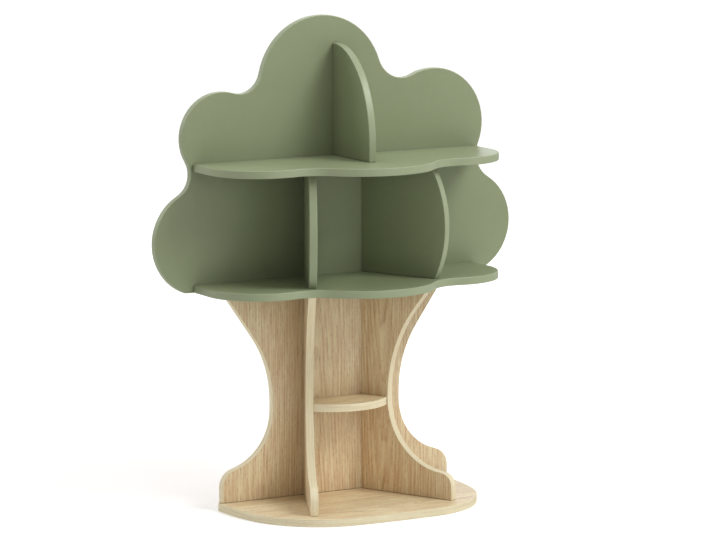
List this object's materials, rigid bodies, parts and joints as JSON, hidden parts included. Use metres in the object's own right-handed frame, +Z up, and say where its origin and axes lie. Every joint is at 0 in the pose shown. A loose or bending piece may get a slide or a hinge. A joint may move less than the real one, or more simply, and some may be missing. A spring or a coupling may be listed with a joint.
{
  "type": "tree shaped bookshelf",
  "caption": "Free-standing bookshelf shaped like a tree, with a cloud shaped crown of painted shelves and splayed dividers on an hourglass trunk of oak boards.",
  "frame": {"origin": "on the floor under the middle of the bookshelf, in line with the front faces of the back panels", "axes": "+Z up, +X along the back panels towards the bookshelf's right as its front is looked at, +Y towards the wall behind it"},
  "size_m": [0.9379, 0.308, 1.133],
  "materials": {
    "painted_board": "sage green paint, satin",
    "oak_board": "light oak, clear matt lacquer",
    "zinc_steel": "zinc plated",
    "beech_dowel": "bare beech"
  },
  "bodies": {
    "root": {"crown_back": "painted_board", "upper_shelf": "painted_board", "lower_shelf": "painted_board", "top_divider": "painted_board", "left_divider": "painted_board", "right_divider": "painted_board", "trunk_back": "oak_board", "left_trunk_side": "oak_board", "right_trunk_side": "oak_board", "trunk_shelf": "oak_board", "base": "oak_board", "upper_shelf_screw_1": "zinc_steel", "upper_shelf_screw_2": "zinc_steel", "upper_shelf_screw_3": "zinc_steel", "lower_shelf_screw_1": "zinc_steel", "lower_shelf_screw_2": "zinc_steel", "lower_shelf_screw_3": "zinc_steel", "top_divider_screw_1": "zinc_steel", "top_divider_screw_2": "zinc_steel", "trunk_shelf_screw_1": "zinc_steel", "trunk_shelf_screw_2": "zinc_steel", "trunk_back_screw_1": "zinc_steel", "trunk_back_screw_2": "zinc_steel", "trunk_back_screw_3": "zinc_steel", "trunk_back_screw_4": "zinc_steel", "left_foot_screw_1": "zinc_steel", "left_foot_screw_2": "zinc_steel", "left_head_screw_1": "zinc_steel", "left_head_screw_2": "zinc_steel", "right_foot_screw_1": "zinc_steel", "right_foot_screw_2": "zinc_steel", "right_head_screw_1": "zinc_steel", "right_head_screw_2": "zinc_steel", "left_divider_dowel_1": "beech_dowel", "left_divider_dowel_2": "beech_dowel", "left_divider_dowel_3": "beech_dowel", "left_divider_dowel_4": "beech_dowel", "right_divider_dowel_1": "beech_dowel", "right_divider_dowel_2": "beech_dowel", "right_divider_dowel_3": "beech_dowel", "right_divider_dowel_4": "beech_dowel", "top_divider_dowel_1": "beech_dowel", "top_divider_dowel_2": "beech_dowel", "crown_dowel_1": "beech_dowel", "crown_dowel_2": "beech_dowel", "crown_dowel_3": "beech_dowel", "crown_dowel_4": "beech_dowel", "trunk_shelf_dowel_left": "beech_dowel", "trunk_shelf_dowel_right": "beech_dowel"}
  },
  "joints": []
}
